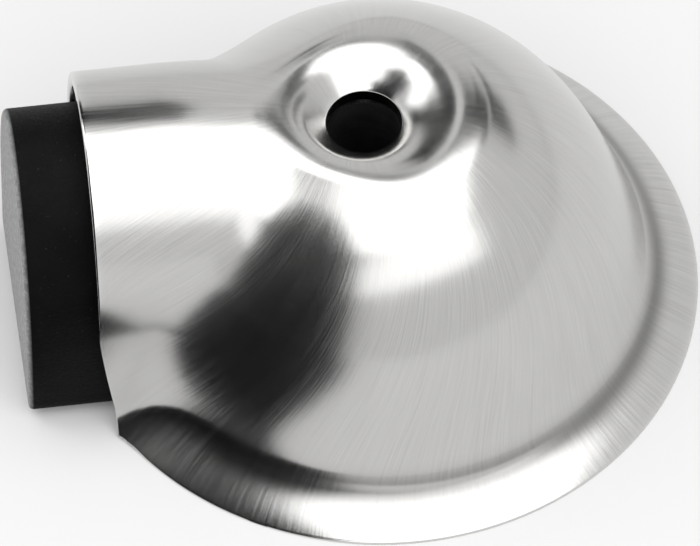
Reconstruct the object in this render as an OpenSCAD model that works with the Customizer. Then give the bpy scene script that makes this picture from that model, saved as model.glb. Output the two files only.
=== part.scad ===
// Floor door stop: a pressed sheet shell with a dome, a side tunnel and a
// rolled lip, over a rigid core that backs a rubber buffer block.
// Frame: floor at z = 0, fixing-screw axis on z, buffer nose toward -y.
// The dome and the base lip share an axis that stands a little behind the screw.

/* [Shell] */

// Distance of the dome's axis behind the screw hole
dome_y = 1.5; // [1.2:0.1:1.7]
// Diameter of the base lip where it meets the floor
plate_d = 60; // [58:0.5:62]
// Radius of the dome where its flank meets the floor level
dome_r = 24.3; // [24:0.1:24.6]
// Height of the dome's crown before the screw seat is pressed in
dome_h = 31.2; // [31:0.1:31.6]
// Thickness of the sheet
sheet_t = 1.3; // [1:0.1:1.5]
// Height of the top of the base lip
lip_h = 2.1; // [1.9:0.1:2.4]
// Radius of the inside curve between the dome's flank and the lip
foot_r = 1.8; // [1.5:0.1:2.2]

/* [Tunnel] */

// Half width of the tunnel at the floor, outside
tunnel_half_w = 13.2; // [12.9:0.1:13.6]
// Height of the tunnel roof, outside
tunnel_h = 31.2; // [30.8:0.1:31.4]
// Height at which the tunnel sides start to lean inward
tunnel_spring = 14; // [13:0.5:15]
// Distance from the screw axis to the tunnel mouth
mouth_y = 26.5; // [26.2:0.1:26.8]

/* [Screw seat] */

// Diameter of the screw hole
hole_d = 7; // [6.8:0.1:7.2]
// Height of the edge of the screw hole above the floor
seat_z = 26.4; // [26:0.1:26.8]
// Slope of the funnel-shaped seat above the horizontal, in degrees
seat_slope = 43; // [40:1:45]
// Radius at which the seat's rounded shoulder runs out on the dome
seat_rim_r = 9; // [8.8:0.1:9.4]

/* [Buffer] */

// Distance from the screw axis to the flat front of the buffer
nose_y = 33.1; // [32.5:0.1:34]
// Half width of the buffer block
buffer_half_w = 11.4; // [11.2:0.1:11.4]
// Height of the top of the buffer block
buffer_h = 28.6; // [28.2:0.1:28.9]
// Height at which the buffer's sides start to lean inward
buffer_spring = 9.7; // [9:0.1:10.5]
// Clearance between the underside of the buffer and the floor
buffer_lift = 0.8; // [0.6:0.1:1]
// Width of the neck that passes through the core's front wall
neck_w = 9; // [8:0.5:10]
// Width of the tail behind the core's front wall
tail_w = 16; // [15:0.5:17]
// Height of the neck and the tail
tail_h = 16; // [14:0.5:17]

/* [Core and sleeve] */

// Distance from the screw axis to the core's flat front wall
core_front_y = 14.6; // [14.4:0.1:15]
// Thickness of the core's front wall
front_wall = 3.4; // [3.2:0.1:3.6]
// Running gap left between parts that are slid together
gap = 0.1; // [0.08:0.01:0.15]
// Outside diameter of the sleeve round the screw
sleeve_d = 9.6; // [9.2:0.1:10]
// Depth of the moulded pockets in the underside of the core
pocket_h = 13; // [10:0.5:14]
// Thickness of the ribs between the pockets
rib_t = 1.6; // [1.4:0.1:2]

/* [Hidden] */

steel = [0.78, 0.78, 0.79];
rubber = [0.06, 0.06, 0.06];
plastic = [0.12, 0.12, 0.13];
blackened = [0.07, 0.07, 0.075];

$fn = 72;
profile_fn = 48;

plate_r = plate_d / 2;
hole_r = hole_d / 2;
sleeve_r = sleeve_d / 2;
over = 5;
sky = 45;
full = 2 * plate_d;

// curves cross each other at this small angle, or by this small depth
blend_angle = 8;
blend_depth = 0.06;

// a half oval's radius at height z
function oval_r(a, b, z) = a * sqrt(1 - pow(z / b, 2));
function thousandths(x) = round(1000 * x) / 1000;
function unit(v) = v / norm(v);
function spin(v, w) = [v[0] * cos(w) - v[1] * sin(w), v[0] * sin(w) + v[1] * cos(w)];

// centre of the foot curve between the dome's flank and the lip's top
foot_z = lip_h + foot_r;
foot_x = thousandths(oval_r(dome_r, dome_h, foot_z) + foot_r - blend_depth);
lip_r = thousandths((pow(plate_r - foot_x, 2) + lip_h * lip_h) / (2 * lip_h));

seat_nrm = [sin(seat_slope), -cos(seat_slope)];
seat_start = [hole_r, seat_z];
seat_run = 8;
seat_rise = 3;

tunnel_back = 9;
void_back = 12;
fade_r = 8;
fade_z = 29.6;
fade_run = 10;
fade_rise = 3.4;

sleeve_h = seat_z - sheet_t / cos(seat_slope) - gap / 2;
tail_front = core_front_y - front_wall;
tail_back = 7.2;
post_r = 7;
ring_1 = 11.6;
ring_2 = 17;
ring_3 = 20.2;
rib_count = 12;

// half oval of half width a and rise b, set in by t
module oval_2d(a, b, t) {
  intersection() {
    scale([1, (b - t) / (a - t)]) circle(a - t);
    translate([-a, 0]) square([2 * a, b]);
  }
}

// tunnel section: straight sides, then a tall arch, set in by t, from z0 up
module section_2d(a, h, spring, t, z0) {
  translate([t - a, z0]) square([2 * (a - t), spring - z0]);
  translate([0, spring]) oval_2d(a, h - spring, t);
}

// a section run along y, from y = -front to y = -back
module run(front, back) {
  translate([0, -back, 0])
    rotate([90, 0, 0]) linear_extrude(front - back) children();
}

module tunnel(t, front, back, z0) {
  run(front, back)
    section_2d(tunnel_half_w, tunnel_h, tunnel_spring, t, z0);
}

// half of the dome's profile, set in by t
module dome_2d(t) {
  intersection() {
    oval_2d(dome_r, dome_h, t);
    square([dome_r, dome_h]);
  }
}

// region under the dome, the foot curve and the lip, set in by t, from z0 up
module dish_2d(t, z0) {
  dome_2d(t);
  difference() {
    translate([0, z0]) square([foot_x, foot_z - z0]);
    translate([foot_x, foot_z]) circle(foot_r + t, $fn = profile_fn);
  }
  intersection() {
    translate([foot_x, lip_h - lip_r]) circle(lip_r - t, $fn = 2 * profile_fn);
    translate([foot_x - gap, z0]) square([plate_r, lip_h - t - z0]);
  }
}

// region over the funnel seat and its rounded shoulder, grown downward by t
module seat_2d(t) {
  start = seat_start + t * seat_nrm;
  a = dome_r - t;
  b = dome_h - t;
  rim = [seat_rim_r - t / 2, b * sqrt(1 - pow((seat_rim_r - t / 2) / a, 2))];
  out = unit([rim[0] / (a * a), rim[1] / (b * b)]);
  lean = spin(out, blend_angle);
  r = seat_nrm * (rim - start) / (cos(blend_angle) + seat_nrm * lean);
  c = rim - r * lean;
  on_crown = c + r * out;
  difference() {
    polygon([[0, start[1] - start[0] * tan(seat_slope)], c - r * cos(blend_angle) * seat_nrm,
      on_crown, on_crown + [seat_run, seat_rise], [on_crown[0] + seat_run, sky], [0, sky]]);
    translate(c) circle(r, $fn = profile_fn);
  }
}

// the dish, turned about its own axis, with the funnel seat on the screw axis
module dish(t, z0) {
  difference() {
    translate([0, dome_y, 0]) rotate_extrude() dish_2d(t, z0);
    rotate_extrude() seat_2d(t);
  }
}

// the outside of the tunnel, faded down to the crown behind the seat's shoulder
module tunnel_outside() {
  difference() {
    tunnel(0, mouth_y, tunnel_back, 0);
    translate([0, 0, fade_z]) cylinder(r1 = fade_r, r2 = fade_r + fade_run, h = fade_rise);
  }
}

module bore(r, z0, z1) {
  translate([0, 0, z0]) cylinder(r = r, h = z1 - z0);
}

module shell() {
  color(steel)
    difference() {
      union() {
        dish(0, 0);
        tunnel_outside();
      }
      dish(sheet_t, -over);
      tunnel(sheet_t, plate_r + 2 * over, void_back, -2 * over);
      bore(hole_r, 0, sky);
    }
}

module buffer_section() {
  intersection() {
    section_2d(buffer_half_w, buffer_h, buffer_spring, 0, 0);
    translate([-full / 2, buffer_lift]) square([full, sky]);
  }
}

module tail(grow, z0) {
  translate([-neck_w / 2 - grow, -core_front_y - over, z0])
    cube([neck_w + 2 * grow, front_wall + over + gap, tail_h + grow - z0]);
  translate([-tail_w / 2 - grow, -tail_front, z0])
    cube([tail_w + 2 * grow, tail_front - tail_back + grow, tail_h + grow - z0]);
}

module buffer() {
  color(rubber) {
    run(nose_y, core_front_y) buffer_section();
    tail(0, buffer_lift);
  }
}

module pocket_ring(r0, r1, h) {
  difference() {
    bore(r1, -over, h);
    bore(r0, -2 * over, sky);
  }
}

module core_pockets() {
  difference() {
    union() {
      pocket_ring(post_r, ring_1, pocket_h);
      pocket_ring(ring_1 + rib_t, ring_2, pocket_h);
      pocket_ring(ring_2 + rib_t, ring_3, pocket_h / 2);
    }
    for (i = [0 : rib_count - 1])
      rotate([0, 0, i * 360 / rib_count])
        translate([-rib_t / 2, 0, -over]) cube([rib_t, plate_r, sky]);
    translate([-buffer_half_w - rib_t, -full, -over])
      cube([2 * (buffer_half_w + rib_t), full - tail_back + rib_t, sky]);
  }
}

module core() {
  color(plastic)
    difference() {
      union() {
        difference() {
          translate([0, dome_y, 0]) rotate_extrude() dome_2d(sheet_t + gap);
          rotate_extrude() seat_2d(sheet_t + gap);
        }
        tunnel(sheet_t + gap, core_front_y, void_back + gap, 0);
      }
      translate([-buffer_half_w - gap, -full, -over])
        cube([2 * (buffer_half_w + gap), full - core_front_y, sky + over]);
      tail(gap, -over);
      core_pockets();
      bore(sleeve_r + gap, -over, sky);
    }
}

module screw_sleeve() {
  color(blackened)
    difference() {
      bore(sleeve_r, 0, sleeve_h);
      bore(hole_r, -over, sky);
    }
}

shell();
buffer();
core();
screw_sleeve();
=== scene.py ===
import math

import bmesh
import bpy
import numpy as np
from mathutils import Matrix, Vector


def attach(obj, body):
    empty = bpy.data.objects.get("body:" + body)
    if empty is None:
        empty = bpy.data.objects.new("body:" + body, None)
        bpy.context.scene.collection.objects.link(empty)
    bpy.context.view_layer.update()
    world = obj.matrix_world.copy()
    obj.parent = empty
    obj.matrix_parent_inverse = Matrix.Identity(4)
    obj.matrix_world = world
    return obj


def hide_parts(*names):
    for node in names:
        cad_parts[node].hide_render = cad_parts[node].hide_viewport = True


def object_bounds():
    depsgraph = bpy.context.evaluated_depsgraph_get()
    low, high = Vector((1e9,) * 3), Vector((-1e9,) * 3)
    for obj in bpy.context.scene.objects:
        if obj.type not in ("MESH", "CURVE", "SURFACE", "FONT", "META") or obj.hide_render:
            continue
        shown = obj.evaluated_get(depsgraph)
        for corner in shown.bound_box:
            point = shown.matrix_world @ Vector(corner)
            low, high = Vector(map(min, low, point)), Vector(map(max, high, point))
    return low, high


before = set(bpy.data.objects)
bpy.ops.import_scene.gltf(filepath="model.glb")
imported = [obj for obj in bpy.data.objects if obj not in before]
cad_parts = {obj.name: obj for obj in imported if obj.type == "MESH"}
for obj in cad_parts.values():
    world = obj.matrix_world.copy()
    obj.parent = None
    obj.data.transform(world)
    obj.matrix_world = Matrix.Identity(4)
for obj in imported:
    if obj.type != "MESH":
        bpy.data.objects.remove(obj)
cad_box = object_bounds()

MM = 0.001
BODY = "root"

# ---------------------------------------------------------------- the pressed shell
# Millimetres. The screw axis is z, the buffer points toward -y, the floor is z = 0.

DOME_Y = 1.5                     # the dome's axis stands this far behind the screw
DOME_R, DOME_H = 24.3, 31.2
TUNNEL_A, TUNNEL_RISE, TUNNEL_SPRING = 13.2, 17.2, 14.0
ROOF_DROP = 1.1                  # how far the tunnel's roof sinks toward the screw seat
ROOF_FRONT, ROOF_RUN = 19.0, 12.0    # where it starts to sink, ahead of the screw, and over what length
END_ROUND = 6.0                  # rounding of the tunnel's hidden end inside the dome
VALLEY_LOW, VALLEY_TOP = 4.5, 2.4    # blend between dome and tunnel, low down and at the roof
VALLEY_Z, VALLEY_RUN = 16.0, 13.0
LIP_BLEND = 2.2
SEAT_BLEND, SEAT_BLEND_MORE = 2.2, 2.6   # the seat's shoulder, and how much softer it is at the back
SEAT_SOFT_FRONT, SEAT_SOFT_RUN = 4.0, 9.0   # where it starts to soften, and over what length
BASE_R = 29.97
FLARE, FLARE_H = 4.0, 3.0        # how the dome's flank spreads toward the lip
LIP_X, LIP_Z = 23.5, -7.0        # centre of the lip's rounded section
LIP_R = math.hypot(BASE_R - LIP_X, LIP_Z)
CREASE_R, CREASE_W = 26.0, 0.9   # where painted shade darkens the crease at the foot of the dome
CREASE_TOP, CREASE_FADE = 3.5, 2.5   # up to where it is full, and over what height it fades
CREASE_FRONT, CREASE_RUN = 21.0, 6.0   # where it starts, ahead of the screw, and over what length
HOLE_WEAR, RIM_WEAR = 0.35, 0.45     # how far edge wear reaches onto the sheet
HOLE_R, SEAT_Z, SEAT_SLOPE = 3.5, 26.4, 43.0
SHEET = 1.3
MOUTH_Y = 26.5
MOUTH_SWEEP, MOUTH_SWEEP_H, MOUTH_SWEEP_POWER = 1.7, 14.0, 1.25   # the mouth's edge runs back near the floor
LEG_FLARE, LEG_FLARE_H = 1.1, 2.2    # how the mouth's legs spread at the floor
LIP_START = [[14.3, -24.6], [15.1, -24.26], [15.9, -23.9]]   # from a leg's foot onto the base circle
EDGE_R = 0.28                    # rounding of the sheet's cut edges


def smooth_min(a, b, k):
    """The smaller of two distances, blended where they differ by less than k."""
    h = np.clip(0.5 + 0.5 * (b - a) / k, 0, 1)
    return b * (1 - h) + a * h - k * h * (1 - h)


def ease(t):
    t = np.clip(t, 0, 1)
    return t * t * (3 - 2 * t)


def oval(u, v, a, b):
    """About the distance to an ellipse with half axes a and b: below zero inside it."""
    q = np.sqrt((u / a) ** 2 + (v / b) ** 2)
    g = np.sqrt((u / a ** 2) ** 2 + (v / b ** 2) ** 2)
    return q * (q - 1) / np.maximum(g, 1e-9)


def shell_field(p):
    """Signed distance to the outside of the shell: below zero inside it."""
    x, y, z = p[..., 0], p[..., 1], p[..., 2]
    r = np.hypot(x, y - DOME_Y)
    above = np.maximum(z, 0)
    dome = oval(r - FLARE * np.exp(-above / FLARE_H), above, DOME_R, DOME_H)
    rise = TUNNEL_RISE - ROOF_DROP * ease((y + ROOF_FRONT) / ROOF_RUN)
    side = oval(np.abs(x), np.maximum(z - TUNNEL_SPRING, 0), TUNNEL_A, rise)
    side = np.where(y > 0, np.hypot(np.maximum(side, -END_ROUND) + END_ROUND, y) - END_ROUND, side)
    valley = VALLEY_LOW + (VALLEY_TOP - VALLEY_LOW) * ease((z - VALLEY_Z) / VALLEY_RUN)
    f = smooth_min(dome, side, valley)
    lip = np.hypot(r - LIP_X, above - LIP_Z) - LIP_R
    lip = np.where(r < LIP_X, z - LIP_Z - LIP_R, lip)
    lip = np.where(z < 0, r - BASE_R, lip)
    f = smooth_min(f, lip, LIP_BLEND)
    slope = math.radians(SEAT_SLOPE)
    seat = -(math.sin(slope) * (np.hypot(x, y) - HOLE_R) - math.cos(slope) * (z - SEAT_Z))
    return -smooth_min(-f, -seat, SEAT_BLEND + SEAT_BLEND_MORE * ease((y + SEAT_SOFT_FRONT) / SEAT_SOFT_RUN))


def outward(p, h=0.01):
    """The outside's normal at p."""
    g = np.stack([shell_field(p + e) - shell_field(p - e) for e in np.eye(3) * h], -1)
    return g / np.linalg.norm(g, axis=-1, keepdims=True)


CAST_FROM = np.array([0, -1.0, -8.0])


def cast(d):
    """Where a ray from under the shell in direction d leaves its outside."""
    lo, hi = np.full(d.shape[:-1], 2.0), np.full(d.shape[:-1], 75.0)
    for _ in range(36):
        m = (lo + hi) / 2
        inside = shell_field(CAST_FROM + d * m[..., None]) < 0
        lo, hi = np.where(inside, m, lo), np.where(inside, hi, m)
    return CAST_FROM + d * ((lo + hi) / 2)[..., None]


def mouth_y(z):
    """Where the mouth's edge lies at height z."""
    return -MOUTH_Y + MOUTH_SWEEP * np.maximum(0, 1 - z / MOUTH_SWEEP_H) ** MOUTH_SWEEP_POWER


def resample(path, n, closed=False):
    """The path at n equal steps. Closed leaves its last point off, as it meets the first again."""
    s = np.r_[0, np.cumsum(np.linalg.norm(np.diff(path, axis=0), axis=1))]
    t = np.linspace(0, s[-1], n + 1 if closed else n)[:n]
    return np.stack([np.interp(t, s, path[:, i]) for i in range(path.shape[1])], -1)


def edge_loop(n_mouth, n_lip):
    """The shell's outer edge: up and over the mouth, then round the base."""
    t = np.linspace(0, np.pi, 1500)
    leg = np.linspace(0, TUNNEL_SPRING, 500, endpoint=False)
    path = np.vstack([
        np.stack([np.full(500, -TUNNEL_A), leg], -1),
        np.stack([-TUNNEL_A * np.cos(t), TUNNEL_SPRING + TUNNEL_RISE * np.sin(t)], -1),
        np.stack([np.full(500, TUNNEL_A), leg[::-1]], -1)])
    c = np.stack([path[:, 0] * 0.3, np.clip(path[:, 1], 1.5, 14)], -1)
    d = path - c
    length = np.linalg.norm(d, axis=1)
    d /= length[:, None]
    lo, hi = length * 0.5, length * 1.25
    for _ in range(40):
        m = (lo + hi) / 2
        q = c + d * m[:, None]
        inside = shell_field(np.stack([q[:, 0], mouth_y(q[:, 1]), q[:, 1]], -1)) < 0
        lo, hi = np.where(inside, m, lo), np.where(inside, hi, m)
    q = c + d * ((lo + hi) / 2)[:, None]
    mouth = np.stack([q[:, 0], mouth_y(q[:, 1]), q[:, 1]], -1)
    flare = TUNNEL_A + LEG_FLARE * np.maximum(0, 1 - mouth[:, 2] / LEG_FLARE_H) ** 2
    mouth[:, 0] = np.clip(mouth[:, 0], -flare, flare)
    mouth = resample(mouth[mouth[:, 2] >= 0], n_mouth)
    trim = np.array(LIP_START)
    a0 = math.atan2(trim[-1, 0], DOME_Y - trim[-1, 1])
    a = np.linspace(a0, 2 * np.pi - a0, 1201)
    circle = np.stack([BASE_R * np.sin(a), DOME_Y - BASE_R * np.cos(a)], -1)
    base = np.vstack([trim[:-1], circle, (trim[:-1] * [-1, 1])[::-1]])
    base = resample(base, n_lip, closed=True)
    return np.vstack([mouth, np.column_stack([base, np.zeros(n_lip)])])


def column_lengths(x):
    """How far each point lies along its column."""
    steps = np.linalg.norm(np.diff(x, axis=1), axis=2)
    return np.concatenate([np.zeros((len(x), 1)), np.cumsum(steps, axis=1)], 1)


def shell_grid(n_mouth=200, n_lip=480, n_rows=220):
    """Columns run from the screw hole out to the edge, as the brushing does."""
    end = edge_loop(n_mouth, n_lip)
    n = len(end)
    w = np.r_[0, np.cumsum(np.linalg.norm(np.diff(np.vstack([end, end[:1]]), axis=0), axis=1))]
    perimeter = w[-1]
    w /= perimeter
    a = (w[:-1] - w[n_mouth // 2]) * 2 * np.pi
    start = np.stack([HOLE_R * np.sin(a), -HOLE_R * np.cos(a), np.full(n, SEAT_Z)], -1)

    def angles(p):
        d = p - CAST_FROM
        turn = np.unwrap(np.arctan2(d[:, 0], -d[:, 1]))
        turn -= 2 * np.pi * np.round(turn[n_mouth // 2] / (2 * np.pi))
        return np.arctan2(d[:, 2], np.hypot(d[:, 0], d[:, 1])), turn

    e0, t0 = angles(start)
    e1, t1 = angles(end)

    def place(s):
        e = e0[:, None] + (e1 - e0)[:, None] * s
        t = t0[:, None] + (t1 - t0)[:, None] * ease(s)
        return cast(np.stack([np.cos(e) * np.sin(t), -np.cos(e) * np.cos(t), np.sin(e)], -1))

    v = np.linspace(0, 1, n_rows)
    s = np.tile(v, (n, 1))
    x = place(s)
    for _ in range(2):
        run = column_lengths(x)
        s = np.stack([np.interp(v * run[i, -1], run[i], s[i]) for i in range(n)])
        x = place(s)
    x[:, -1] = end
    return x, w * perimeter


def build_shell():
    x, w = shell_grid()
    nrm = outward(x)
    nrm[:, 0] = nrm[:, 1]
    nrm[:, -1] = nrm[:, -2]
    n = len(x)

    # the hole's edge: a small round, then the bore down to the underside
    radial = x[:, 0] * [1, 1, 0] / HOLE_R
    slope = math.radians(SEAT_SLOPE)
    up_cone = radial * math.cos(slope) + np.array([0, 0, math.sin(slope)])
    n_cone = -radial * math.sin(slope) + np.array([0, 0, math.cos(slope)])
    round_turn = np.radians(np.linspace(SEAT_SLOPE, 90, 6))
    keep = EDGE_R * math.tan((math.pi / 2 - slope) / 2)
    centre = x[:, 0] + up_cone * keep - n_cone * EDGE_R
    hole_rows = []
    for t in round_turn[::-1]:
        d = -radial * math.sin(t) + np.array([0, 0, math.cos(t)])
        hole_rows.append(centre + d * EDGE_R)
    low = SEAT_Z - SHEET / math.cos(slope)
    bottom = np.column_stack([x[:, 0, :2], np.full(n, low)])
    hole_rows = [bottom] + [bottom + (hole_rows[0] - bottom) * k for k in (0.35, 0.7)] + hole_rows

    # the outer edge: a round, the sheet's thickness, and a round again
    along = x[:, -1] - x[:, -3]
    along /= np.linalg.norm(along, axis=1, keepdims=True)
    out = nrm[:, -1]
    outer_round, inner_round = np.radians([15, 40, 65, 90]), np.radians([0, 30, 60, 90])
    rim_rows = []
    for t in outer_round:
        depth = EDGE_R * (1 - math.cos(t))
        rim_rows.append(x[:, -1] - along * EDGE_R * (1 - math.sin(t)) - out * depth)
    for t in inner_round:
        depth = SHEET - EDGE_R * (1 - math.sin(t))
        rim_rows.append(x[:, -1] - along * EDGE_R * (1 - math.cos(t)) - out * depth)

    # the outside stops short of the edge by the round, and starts after the hole's round
    run = column_lengths(x)
    rows = np.linspace(0, 1, x.shape[1])
    body = np.empty_like(x)
    body_n = np.empty_like(x)
    for i in range(n):
        t = keep + rows * (run[i, -1] - EDGE_R - keep)
        for k in range(3):
            body[i, :, k] = np.interp(t, run[i], x[i, :, k])
            body_n[i, :, k] = np.interp(t, run[i], nrm[i, :, k])
    body_n /= np.linalg.norm(body_n, axis=-1, keepdims=True)
    inner = (body[:, ::-4] - body_n[:, ::-4] * SHEET)[:, 1:]

    parts = [np.stack(hole_rows, 1), body[:, 1:], np.stack(rim_rows, 1), inner]
    grid = np.concatenate(parts, 1)
    grid[..., 2] = np.maximum(grid[..., 2], 0)
    rows_n = grid.shape[1]
    real = column_lengths(grid)
    first = len(hole_rows)
    last = first + body.shape[1] - 1
    from_hole = np.maximum(real - real[:, first:first + 1], 0)
    from_rim = np.maximum(real[:, last:last + 1] - real, 0)
    edge = np.maximum(np.exp(-from_hole / HOLE_WEAR), np.exp(-from_rim / RIM_WEAR))
    edge[:, last + len(rim_rows):] = 0
    # painted shade: the sheet's underside, the lower half of its cut edge and the lower bore are marked for
    # darkening
    inside = np.zeros((n, rows_n))
    inside[:, last + len(outer_round):] = 1
    inside[:, :2] = 1      # the lower part of the bore
    foot = np.hypot(grid[..., 0], grid[..., 1] - DOME_Y)
    # painted shade: a dark band along the crease at the foot of the dome
    crease_shade = np.exp(-((foot - CREASE_R) / CREASE_W) ** 2) * (1 - inside)
    # the painted shade ends a little way up the flank, and before the tunnel's legs
    crease_shade *= 1 - ease((grid[..., 2] - CREASE_TOP) / CREASE_FADE)
    crease_shade *= ease((grid[..., 1] + CREASE_FRONT) / CREASE_RUN)

    verts = (grid * MM).reshape(-1, 3)
    i, j = np.meshgrid(np.arange(n), np.arange(rows_n), indexing="ij")
    index = i * rows_n + j
    nxt = np.roll(index, -1, axis=0)
    quads = np.stack([index[:, :-1], nxt[:, :-1], nxt[:, 1:], index[:, 1:]], -1).reshape(-1, 4)
    # close the bore's foot onto the underside
    close = np.stack([index[:, -1], nxt[:, -1], nxt[:, 0], index[:, 0]], -1)
    quads = np.vstack([quads, close])
    mesh = mesh_from(verts, quads, "pressed_shell")
    u = np.column_stack([w[:-1], w[1:], w[1:], w[:-1]])
    after = np.roll(real, -1, 0)
    uv_quads = np.stack([
        np.repeat(u[:, None, :], rows_n - 1, 1),
        np.stack([real[:, :-1], after[:, :-1], after[:, 1:], real[:, 1:]], -1)], -1).reshape(-1, 4, 2)
    uv_close = np.stack([u, np.zeros_like(u)], -1)
    uv = np.concatenate([uv_quads, uv_close]) * MM * 10
    layer = mesh.uv_layers.new(name="brush")
    layer.data.foreach_set("uv", uv.reshape(-1).astype(np.float32))
    # the brushing's noise is laid on a cylinder, column by column, so that it has no seam
    ring = np.repeat((w[:-1] / w[-1] * 2 * np.pi)[:, None], rows_n, 1)
    rad = w[-1] / (2 * np.pi)
    lay = np.stack([rad * np.cos(ring), rad * np.sin(ring), real], -1)
    point_vectors(mesh, "lay", lay)
    point_values(mesh, "edge", edge)
    point_values(mesh, "inside", inside)
    point_values(mesh, "crease_shade", crease_shade)
    return add_object("pressed_shell", mesh)


def mesh_from(verts, faces, name):
    mesh = bpy.data.meshes.new(name)
    mesh.from_pydata([tuple(v) for v in verts.tolist()], [], [tuple(f) for f in faces.tolist()])
    mesh.update()
    mesh.polygons.foreach_set("use_smooth", np.full(len(mesh.polygons), True))
    return mesh


def point_values(mesh, name, values):
    a = mesh.attributes.new(name, "FLOAT", "POINT")
    a.data.foreach_set("value", values.reshape(-1).astype(np.float32))


def point_vectors(mesh, name, values):
    a = mesh.attributes.new(name, "FLOAT_VECTOR", "POINT")
    a.data.foreach_set("vector", values.reshape(-1).astype(np.float32))


def add_object(name, mesh):
    obj = bpy.data.objects.new(name, mesh)
    bpy.context.scene.collection.objects.link(obj)
    return obj


# ---------------------------------------------------------------- the rubber buffer

NOSE_Y, BACK_Y = 33.1, 14.6
BUF_A, BUF_TOP, BUF_SPRING, BUF_LIFT = 11.4, 28.6, 9.7, 0.8
BUF_CORNER = 1.3                 # rounding of the lower corners
FACE_MID = 12.5                  # height at which the front face's rings meet
BUF_ROUND = 0.45                 # rounding of the front face's edge
NECK_W, TAIL_W, TAIL_H, TAIL_FRONT, TAIL_BACK = 9.0, 16.0, 16.0, 11.2, 7.2
NECK_IN_BLOCK, NECK_IN_TAIL = 1.5, 0.8   # how far the neck runs into the block and the crossbar
TAIL_ROUND = 0.4


def buffer_outline(inset, n=180):
    """The block's section, drawn in by inset, with rounded lower corners."""
    a, top, low = BUF_A - inset, BUF_TOP - inset, BUF_LIFT + inset
    corner = max(BUF_CORNER - inset, 0.3)
    pts = []
    for t in np.radians(np.linspace(-90, 0, 9)):
        pts.append((a - corner + corner * math.cos(t), low + corner + corner * math.sin(t)))
    for t in np.radians(np.linspace(0, 180, 160)):
        pts.append((a * math.cos(t), BUF_SPRING + (top - BUF_SPRING) * math.sin(t)))
    for t in np.radians(np.linspace(180, 270, 9)):
        pts.append((-(a - corner) + corner * math.cos(t), low + corner + corner * math.sin(t)))
    pts.append(pts[0])
    return resample(np.array(pts), n, closed=True)


def build_buffer():
    rings = []
    face = []
    turns = np.radians(np.linspace(90, 0, 6))
    # front face: rings shrinking to its middle, then the round, the sides and the back
    mid = np.array([0, FACE_MID])
    front = buffer_outline(BUF_ROUND)
    for k in (0.04, 0.25, 0.5, 0.72, 0.9, 0.97):
        rings.append(np.column_stack([(mid + (front - mid) * k), np.full(len(front), -NOSE_Y)]))
        face.append(1.0)
    for t in turns:
        o = buffer_outline(BUF_ROUND * (1 - math.cos(t)))
        rings.append(np.column_stack([o, np.full(len(o), -NOSE_Y + BUF_ROUND * (1 - math.sin(t)))]))
        face.append(0.9 * math.sin(t))
    side = buffer_outline(0)
    for y in np.linspace(-NOSE_Y + BUF_ROUND + 0.6, -BACK_Y - 0.4, 26):
        rings.append(np.column_stack([side, np.full(len(side), y)]))
        face.append(0.0)
    back = buffer_outline(0.35)
    for k in (1.0, 0.5, 0.04):
        rings.append(np.column_stack([(mid + (back - mid) * k), np.full(len(back), -BACK_Y)]))
        face.append(0.0)
    g = np.stack(rings)[..., [0, 2, 1]]
    m, n = g.shape[:2]
    i, j = np.meshgrid(np.arange(m - 1), np.arange(n), indexing="ij")
    jn = (j + 1) % n
    quads = np.stack([i * n + j, i * n + jn, (i + 1) * n + jn, (i + 1) * n + j], -1).reshape(-1, 4)
    mesh = mesh_from(g.reshape(-1, 3) * MM, quads, "rubber_buffer")
    bm = bmesh.new()
    bm.from_mesh(mesh)
    bm.verts.ensure_lookup_table()
    layer = bm.verts.layers.float.new("face")
    for k in range(m):
        for q in range(n):
            bm.verts[k * n + q][layer] = face[k]
    bm.faces.new([bm.verts[k] for k in range(n)][::-1])
    bm.faces.new([bm.verts[(m - 1) * n + k] for k in range(n)])

    def block(x0, x1, y0, y1, z0, z1):
        new = bmesh.ops.create_cube(bm, size=1.0)["verts"]
        for v in new:
            f = v.co + Vector((0.5, 0.5, 0.5))
            v.co = Vector((x0 + f.x * (x1 - x0), y0 + f.y * (y1 - y0), z0 + f.z * (z1 - z0))) * MM
        edges = list({e for v in new for e in v.link_edges})
        bmesh.ops.bevel(bm, geom=edges, offset=TAIL_ROUND * MM, segments=3, profile=0.5, affect="EDGES")

    block(-NECK_W / 2, NECK_W / 2, -BACK_Y - NECK_IN_BLOCK, -TAIL_FRONT + NECK_IN_TAIL, BUF_LIFT, TAIL_H)
    block(-TAIL_W / 2, TAIL_W / 2, -TAIL_FRONT, -TAIL_BACK, BUF_LIFT, TAIL_H)
    bmesh.ops.recalc_face_normals(bm, faces=bm.faces)
    for f in bm.faces:
        f.smooth = True
    bm.to_mesh(mesh)
    bm.free()
    return add_object("rubber_buffer", mesh)


# ---------------------------------------------------------------- materials


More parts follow.
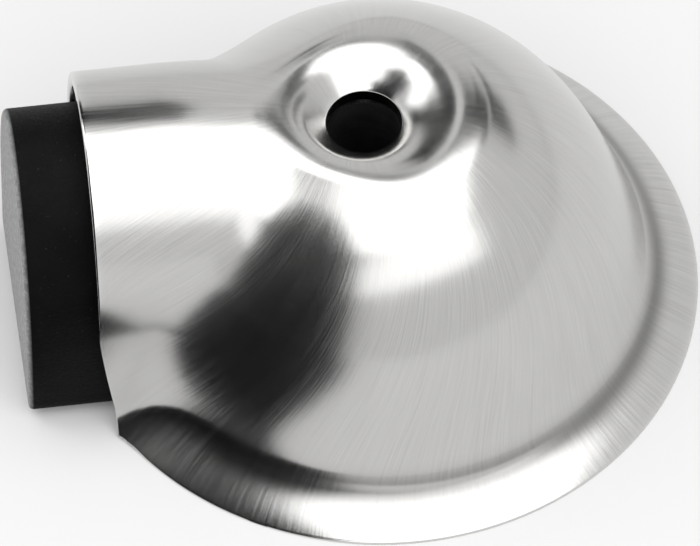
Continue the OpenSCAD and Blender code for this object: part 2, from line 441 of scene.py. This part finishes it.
class Nodes:
    """A short way to write shader nodes."""

    def __init__(self, name):
        self.mat = bpy.data.materials.new(name)
        self.mat.use_nodes = True
        self.tree = self.mat.node_tree
        self.tree.nodes.clear()
        self.out = self.add("ShaderNodeOutputMaterial")
        self.shader = self.add("ShaderNodeBsdfPrincipled")
        self.link(self.shader.outputs[0], self.out.inputs[0])

    def add(self, kind, **settings):
        node = self.tree.nodes.new(kind)
        for k, v in settings.items():
            setattr(node, k, v)
        return node

    def link(self, a, b):
        self.tree.links.new(a, b)

    def attribute(self, name, vector=False):
        return self.add("ShaderNodeAttribute", attribute_name=name).outputs["Vector" if vector else "Fac"]

    def stretch(self, vector, scale, shift=(0, 0, 0)):
        node = self.add("ShaderNodeMapping")
        node.inputs["Scale"].default_value = scale
        node.inputs["Location"].default_value = shift
        self.link(vector, node.inputs["Vector"])
        return node.outputs[0]

    def noise(self, vector, scale, detail=3.0, rough=0.5):
        node = self.add("ShaderNodeTexNoise")
        node.inputs["Scale"].default_value = scale
        node.inputs["Detail"].default_value = detail
        node.inputs["Roughness"].default_value = rough
        self.link(vector, node.inputs["Vector"])
        return node.outputs["Fac"]

    def remap(self, value, a, b, c, d):
        node = self.add("ShaderNodeMapRange")
        node.inputs["From Min"].default_value = a
        node.inputs["From Max"].default_value = b
        node.inputs["To Min"].default_value = c
        node.inputs["To Max"].default_value = d
        self.link(value, node.inputs["Value"])
        return node.outputs[0]

    def math(self, op, a, b):
        node = self.add("ShaderNodeMath", operation=op)
        for socket, value in zip(node.inputs, (a, b)):
            if isinstance(value, (int, float)):
                socket.default_value = value
            else:
                self.link(value, socket)
        return node.outputs[0]

    def mix(self, fac, a, b):
        node = self.add("ShaderNodeMix", data_type="RGBA")
        sockets = (node.inputs["Factor"], node.inputs[6], node.inputs[7])
        for socket, value in zip(sockets, (fac, a, b)):
            if isinstance(value, (int, float)):
                socket.default_value = value
            elif isinstance(value, tuple):
                socket.default_value = (*value, 1)
            else:
                self.link(value, socket)
        return node.outputs[2]

    def bump(self, height, strength, distance, under=None):
        node = self.add("ShaderNodeBump")
        node.inputs["Strength"].default_value = strength
        node.inputs["Distance"].default_value = distance
        self.link(height, node.inputs["Height"])
        if under is not None:
            self.link(under, node.inputs["Normal"])
        return node.outputs[0]


def brushed_steel():
    m = Nodes("brushed_steel")
    lay = m.attribute("lay", vector=True)
    edge = m.attribute("edge")
    inside = m.attribute("inside")
    crease_shade = m.math("MULTIPLY", m.attribute("crease_shade"), 0.75)
    fine = m.noise(m.stretch(lay, (4.0, 4.0, 0.13)), 1.0, 4.0, 0.6)
    broad = m.noise(m.stretch(lay, (1.1, 1.1, 0.05), (7, 3, 1)), 1.0, 2.0)
    patch = m.noise(m.stretch(lay, (0.06, 0.06, 0.06), (2, 9, 4)), 1.0, 2.0)
    scratch = m.noise(m.stretch(lay, (6.0, 6.0, 0.22), (11, 5, 8)), 1.0, 2.0)
    scratch = m.remap(scratch, 0.66, 0.74, 0.0, 1.0)
    tone = m.remap(fine, 0.3, 0.7, 0.0, 1.0)
    colour = m.mix(tone, (0.50, 0.495, 0.485), (0.60, 0.595, 0.585))
    colour = m.mix(m.remap(broad, 0.35, 0.65, 0.0, 0.5), colour, (0.565, 0.56, 0.55))
    colour = m.mix(m.math("MULTIPLY", scratch, 0.25), colour, (0.72, 0.715, 0.705))
    # painted shade: the crease at the dome's foot is darkened nearly to black
    colour = m.mix(crease_shade, colour, (0.14, 0.138, 0.135))
    colour = m.mix(m.math("MULTIPLY", edge, 0.5), colour, (0.74, 0.735, 0.725))
    # painted shade: darker grey on the underside, the cut edge's lower half and the lower bore
    colour = m.mix(m.math("MULTIPLY", inside, 0.45), colour, (0.30, 0.30, 0.30))
    m.link(colour, m.shader.inputs["Base Color"])
    rough = m.remap(fine, 0.25, 0.75, 0.17, 0.25)
    rough = m.math("ADD", rough, m.remap(patch, 0.3, 0.7, -0.015, 0.02))
    rough = m.math("SUBTRACT", rough, m.math("MULTIPLY", edge, 0.06))
    m.link(rough, m.shader.inputs["Roughness"])
    m.shader.inputs["Metallic"].default_value = 1.0
    m.shader.inputs["Anisotropic"].default_value = 0.55
    tangent = m.add("ShaderNodeTangent", direction_type="UV_MAP", uv_map="brush")
    m.link(tangent.outputs[0], m.shader.inputs["Tangent"])
    height = m.math("ADD", m.math("MULTIPLY", fine, 0.7), m.math("MULTIPLY", broad, 0.6))
    height = m.math("ADD", height, m.math("MULTIPLY", scratch, 0.2))
    m.link(m.bump(height, 0.5, 0.000009), m.shader.inputs["Normal"])
    return m.mat


def rubber():
    m = Nodes("black_rubber")
    where = m.add("ShaderNodeNewGeometry").outputs["Position"]
    face = m.attribute("face")
    grain = m.noise(where, 4200.0, 4.0, 0.65)
    cloud = m.noise(where, 260.0, 3.0)
    dust = m.noise(m.stretch(where, (1, 1, 1), (0.3, 0.1, 0.7)), 1900.0, 5.0, 0.7)
    dust = m.remap(dust, 0.45, 0.7, 0.0, 1.0)
    base = m.mix(m.remap(cloud, 0.3, 0.7, 0.0, 1.0), (0.0015, 0.0015, 0.0016), (0.003, 0.003, 0.0031))
    # partly dust and partly painted sheen: the front face's light grey stands in for the strong light and
    # floor reflection on it
    dust_and_sheen = m.mix(dust, (0.22, 0.22, 0.222), (0.42, 0.42, 0.42))
    colour = m.mix(face, base, dust_and_sheen)
    specks = m.remap(m.noise(where, 3100.0, 2.0), 0.7, 0.76, 0.0, 0.35)
    colour = m.mix(specks, colour, (0.06, 0.06, 0.06))
    m.link(colour, m.shader.inputs["Base Color"])
    m.link(m.remap(grain, 0.3, 0.7, 0.5, 0.68), m.shader.inputs["Roughness"])
    m.shader.inputs["Specular IOR Level"].default_value = 0.08
    height = m.math("ADD", m.math("MULTIPLY", grain, 0.6), m.math("MULTIPLY", dust, 0.4))
    m.link(m.bump(height, 0.45, 0.00012), m.shader.inputs["Normal"])
    return m.mat


def plastic():
    m = Nodes("moulded_plastic")
    where = m.add("ShaderNodeNewGeometry").outputs["Position"]
    grain = m.noise(where, 3000.0, 4.0, 0.6)
    flow = m.noise(m.stretch(where, (1, 1, 0.3)), 220.0, 3.0)
    colour = m.mix(m.remap(flow, 0.3, 0.7, 0.0, 1.0), (0.012, 0.012, 0.013), (0.024, 0.024, 0.026))
    m.link(colour, m.shader.inputs["Base Color"])
    m.link(m.remap(grain, 0.3, 0.7, 0.42, 0.6), m.shader.inputs["Roughness"])
    m.link(m.bump(grain, 0.35, 0.0001), m.shader.inputs["Normal"])
    return m.mat


def dark_sleeve_steel():
    m = Nodes("sleeve_steel_painted_shade")
    where = m.add("ShaderNodeNewGeometry").outputs["Position"]
    turned = m.noise(m.stretch(where, (60, 60, 5200)), 1.0, 3.0)
    cloud = m.noise(where, 500.0, 4.0)
    bare = m.remap(m.noise(where, 2600.0, 3.0), 0.68, 0.78, 0.0, 0.6)
    # painted shade: the sleeve is coloured near black so that the deep hole reads dark
    colour = m.mix(m.remap(cloud, 0.3, 0.7, 0.0, 1.0), (0.006, 0.006, 0.0065), (0.016, 0.016, 0.017))
    colour = m.mix(bare, colour, (0.09, 0.088, 0.085))
    m.link(colour, m.shader.inputs["Base Color"])
    m.link(m.remap(turned, 0.3, 0.7, 0.45, 0.65), m.shader.inputs["Roughness"])
    m.shader.inputs["Metallic"].default_value = 0.3
    m.link(m.bump(turned, 0.3, 0.00005), m.shader.inputs["Normal"])
    return m.mat


# ---------------------------------------------------------------- the object

shell = build_shell()
shell.data.materials.append(brushed_steel())
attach(shell, BODY)
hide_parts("shell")

buffer = build_buffer()
buffer.data.materials.append(rubber())
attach(buffer, BODY)
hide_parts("buffer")

for node, material in (("core", plastic()), ("screw_sleeve", dark_sleeve_steel())):
    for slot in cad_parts[node].material_slots:
        slot.material = material

# ---------------------------------------------------------------- floor, lights, camera

low, high = (Vector(v) for v in cad_box)
centre = (low + high) / 2


def flat_card(name, corners, material):
    mesh = bpy.data.meshes.new(name)
    mesh.from_pydata([tuple(c) for c in corners], [], [(0, 1, 2, 3)])
    mesh.update()
    card = add_object(name, mesh)
    card.data.materials.append(material)


def floor_material():
    m = Nodes("pale_floor")
    where = m.add("ShaderNodeNewGeometry").outputs["Position"]
    cloud = m.noise(where, 9.0, 2.0)
    m.link(m.mix(cloud, (0.54, 0.54, 0.54), (0.57, 0.57, 0.57)), m.shader.inputs["Base Color"])
    m.shader.inputs["Roughness"].default_value = 0.8
    m.shader.inputs["Specular IOR Level"].default_value = 0.0
    return m.mat


def card_material(name, tone):
    m = Nodes(name)
    m.shader.inputs["Base Color"].default_value = (tone, tone, tone, 1)
    m.shader.inputs["Roughness"].default_value = 1.0
    m.shader.inputs["Specular IOR Level"].default_value = 0.0
    return m.mat


flat_card("floor", [(-4, -4, 0), (4, -4, 0), (4, 4, 0), (-4, 4, 0)], floor_material())
black = card_material("black_card", 0.004)
grey = card_material("grey_card", 0.03)
mid_grey = card_material("mid_grey_card", 0.1)


def toward(azimuth, elevation):
    """A direction from the object: azimuth 0 is past the buffer, 90 is past the +x side."""
    a, e = math.radians(azimuth), math.radians(elevation)
    return Vector((math.sin(a) * math.cos(e), -math.cos(a) * math.cos(e), math.sin(e)))


def soft_light(name, azimuth, elevation, distance, wide, tall, radiance):
    """A soft box seen from the object wide by tall degrees."""
    light = bpy.data.lights.new(name, "AREA")
    light.shape = "RECTANGLE"
    light.size = 2 * distance * math.tan(math.radians(wide) / 2)
    light.size_y = 2 * distance * math.tan(math.radians(tall) / 2)
    light.energy = radiance * math.pi * light.size * light.size_y
    obj = bpy.data.objects.new(name, light)
    bpy.context.scene.collection.objects.link(obj)
    d = toward(azimuth, elevation)
    obj.location = centre + d * distance
    obj.rotation_euler = d.to_track_quat("Z", "Y").to_matrix().to_euler()


def hide_card(card, material):
    card.data.materials.append(material)
    card.visible_camera = False
    card.visible_shadow = False
    card.visible_diffuse = False


def sky_card(name, left, right, distance):
    """A black card that follows two edges, each a list of (azimuth, elevation). Only reflections see it."""
    verts, faces = [], []
    steps = 12
    for a, b in zip(left, right):
        for i in range(steps + 1):
            f = i / steps
            verts.append(centre + toward(a[0] + (b[0] - a[0]) * f, a[1] + (b[1] - a[1]) * f) * distance)
    for k in range(len(left) - 1):
        for i in range(steps):
            q = k * (steps + 1) + i
            faces.append((q, q + 1, q + steps + 2, q + steps + 1))
    mesh = bpy.data.meshes.new(name)
    mesh.from_pydata([tuple(v) for v in verts], [], faces)
    mesh.update()
    hide_card(add_object(name, mesh), black)


def level_card(name, height, material, outline):
    """A level card, its height and corners in millimetres. Only reflections see it."""
    mesh = bpy.data.meshes.new(name)
    mesh.from_pydata([(x * MM, y * MM, height * MM) for x, y in outline], [], [tuple(range(len(outline)))])
    mesh.update()
    hide_card(add_object(name, mesh), material)


world = bpy.data.worlds.new("studio")
world.use_nodes = True
world.node_tree.nodes["Background"].inputs[0].default_value = (1, 1, 1, 1)
world.node_tree.nodes["Background"].inputs[1].default_value = 0.85
bpy.context.scene.world = world
bpy.context.scene.view_settings.view_transform = "Standard"

# each light's azimuth, elevation, distance, degrees wide and tall, and radiance
soft_light("side_top", 88, 73.5, 1.2, 90, 69, 1.75)
soft_light("side_low", 104, 31, 1.2, 70, 14, 1.1)
soft_light("front_box", -30, 45, 1.0, 20, 40, 1.9)
# the studio's dark openings, which give the steel its dark bands; the near ones sit just over the object
sky_card("dark_side",
         [(8, -8), (8, 10), (4, 33), (-6, 41), (-12, 50), (-14, 66)],
         [(67, -8), (70, 10), (71, 35), (62, 43), (46, 51), (38, 66)], 0.4)
level_card("dark_floor", 0.1, black, [
    (24.5, -9), (28.3, -16), (29, -19.2), (27.6, -21.8), (35, -22.8), (47, -25), (60, -28.5), (80, -33),
    (120, -45), (400, -140), (300, -400), (50, -400), (12, -60), (16, -30), (24, -24.5), (26.6, -21.6),
    (26.6, -19.6)])
sky_card("dark_band",
         [(-50, 4), (-64, 20), (-89, 30), (-90, 38), (-80, 45), (-84, 56), (-84, 68)],
         [(-34, 10), (-37, 24), (-40, 34), (-44, 42), (-46, 50), (-44, 64), (-10, 72)], 0.8)
level_card("grey_back", 60, mid_grey, [(-80, 62), (-80, 122), (-22, 122), (-20, 62)])
level_card("dark_top_left", 100, black, [
    (-95, -60), (-98, -48), (-88, -20), (-80, -2), (-66, 3), (-52, 6), (-44, 0), (-30, -3), (-32, -16),
    (-44, -30), (-50, -46), (-56, -62), (-70, -75), (-88, -75)])
level_card("dark_top_right", 100, grey, [
    (-62, 38), (-67, 58), (-84, 70), (-84, 110), (-18, 110), (-17, 40), (-24, 22), (-28, 16.5), (-40, 18),
    (-48, 24), (-58, 28)])

# the camera stands far off, past the +x side, and looks down on the object
VIEW_AZIMUTH, VIEW_ELEVATION, VIEW_ROLL = 83.31, 54.75, -0.46
VIEW_DISTANCE = 1.8706
LOOK_AT = Vector((6.84, -2.22, 12.0)) * MM
cam_data = bpy.data.cameras.new("camera")
cam_data.sensor_width = 36.0
cam_data.lens = 1028.57      # a very long lens: the view is almost without perspective
cam_data.clip_start = 0.05
cam_data.clip_end = 20.0
camera = bpy.data.objects.new("camera", cam_data)
bpy.context.scene.collection.objects.link(camera)
back = toward(VIEW_AZIMUTH, VIEW_ELEVATION)
right = toward(VIEW_AZIMUTH + 90, 0)
up = back.cross(right)
roll = math.radians(VIEW_ROLL)
cx = right * math.cos(roll) + up * math.sin(roll)
cy = up * math.cos(roll) - right * math.sin(roll)
turn = Matrix((cx, cy, back)).transposed()
camera.matrix_world = Matrix.Translation(LOOK_AT + back * VIEW_DISTANCE) @ turn.to_4x4()
bpy.context.scene.camera = camera
